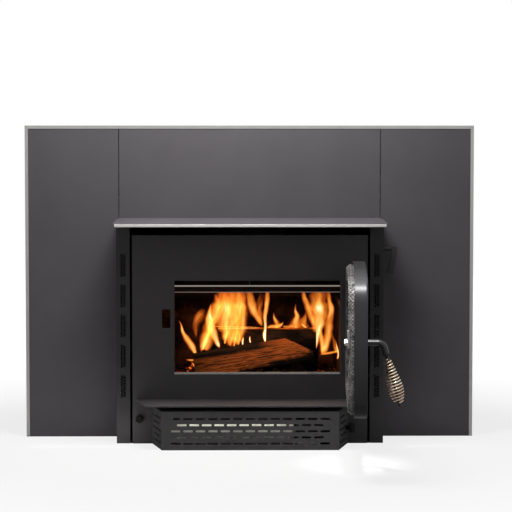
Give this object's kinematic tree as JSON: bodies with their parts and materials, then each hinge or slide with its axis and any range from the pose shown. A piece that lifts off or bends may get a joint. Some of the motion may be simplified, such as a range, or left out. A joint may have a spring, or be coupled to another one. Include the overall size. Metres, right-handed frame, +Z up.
{
  "type": "fireplace insert",
  "caption": "Wood-burning fireplace insert with an arched glass door standing open, firebrick chamber, hot-air hood, blower box, side damper lever and a folded sheet surround.",
  "frame": {"origin": "on the hearth, midway across the body, in the plane of the surround's front face", "axes": "+X to the viewer's right across the front, +Y back into the fireplace, +Z up along the flue"},
  "size_m": [1.118, 1.0783, 0.778],
  "materials": {
    "panel_paint": "satin charcoal high-temperature paint",
    "body_paint": "matt charcoal high-temperature paint",
    "casing_sheet": "matt black paint on sheet",
    "bright_trim": "satin bright edging",
    "zinc_steel": "zinc plated",
    "galvanised": "galvanised sheet",
    "stainless": "heat-dulled stainless steel",
    "firebrick": "dry pressed refractory, buff",
    "board": "rigid refractory board",
    "rope": "braided glass-fibre rope, graphite grey",
    "tape": "flat woven glass-fibre tape",
    "pane": "clear ceramic glass",
    "nickel": "nickel-plated spring wire",
    "handle_black": "black oxide steel",
    "black_plastic": "fine matt black plastic",
    "motor_case": "black enamelled motor case",
    "firewood": "split and charred firewood"
  },
  "bodies": {
    "root": {"surround_left": "panel_paint", "surround_right": "panel_paint", "surround_top": "panel_paint", "surround_trim": "bright_trim", "surround_screws": "zinc_steel", "base_plate": "casing_sheet", "levelling_bolts": "zinc_steel", "side_casing_left": "body_paint", "side_casing_right": "body_paint", "casing_back": "casing_sheet", "casing_top": "casing_sheet", "hood": "body_paint", "hood_trim": "bright_trim", "front_plate": "body_paint", "firebox_bottom": "casing_sheet", "firebox_side_left": "casing_sheet", "firebox_side_right": "casing_sheet", "firebox_back": "casing_sheet", "firebox_top": "casing_sheet", "flue_collar": "casing_sheet", "support_rails": "casing_sheet", "floor_bricks": "firebrick", "side_bricks": "firebrick", "back_bricks": "firebrick", "brick_keepers": "stainless", "air_manifolds": "stainless", "secondary_tubes": "stainless", "baffle_boards": "board", "air_duct_left": "galvanised", "air_duct_right": "galvanised", "ash_lip": "body_paint", "blower_housing": "body_paint", "blower_screws": "zinc_steel", "cord_gland": "black_plastic", "fan_scroll": "galvanised", "blower_motor": "motor_case", "motor_bracket": "galvanised", "speed_controller": "black_plastic", "primary_air_box": "casing_sheet", "hinge_brackets": "body_paint", "hinge_pins": "zinc_steel", "front_log": "firewood", "rear_logs": "firewood"},
    "door": {"door_frame": "body_paint", "door_glass": "pane", "glass_gasket": "tape", "glass_clips": "zinc_steel", "clip_screws": "zinc_steel", "rope_gasket": "rope"},
    "latch": {"handle_rod": "handle_black", "spring_grip": "nickel", "latch_pawl": "zinc_steel", "latch_nut": "zinc_steel"},
    "damper": {"damper_shaft": "zinc_steel", "damper_lever": "body_paint"},
    "primary_air": {"air_slide": "zinc_steel", "air_knob": "black_plastic"},
    "fan_rotor": {"fan_shaft": "zinc_steel", "fan_wheel": "motor_case"},
    "speed_control": {"speed_knob": "black_plastic"}
  },
  "joints": [
    {"name": "door_swing", "type": "hinge", "parent": "root", "child": "door", "pos_m": [0.261, -0.1335, 0.28], "axis": [0, 0, 1], "range_deg": [-87.2, 25], "deforming": ["rope_gasket"]},
    {"name": "latch_turn", "type": "hinge", "parent": "door", "child": "latch", "pos_m": [0.23827, -0.59825, 0.298], "axis": [0.9988, -0.0489, 0], "range_deg": [0, 90]},
    {"name": "damper_turn", "type": "hinge", "parent": "root", "child": "damper", "pos_m": [0.34, -0.059, 0.474], "axis": [-1, 0, 0], "range_deg": [0, 70]},
    {"name": "air_slide_pull", "type": "slide", "parent": "root", "child": "primary_air", "axis": [0, -1, 0], "range_m": [0, 0.04]},
    {"name": "fan_spin", "type": "hinge", "parent": "root", "child": "fan_rotor", "pos_m": [0, -0.1675, 0.0446], "axis": [1, 0, 0], "continuous": true},
    {"name": "speed_knob_turn", "type": "hinge", "parent": "root", "child": "speed_control", "pos_m": [-0.27, -0.12, 0.061], "axis": [0, 1, 0], "range_deg": [0, 270]}
  ]
}
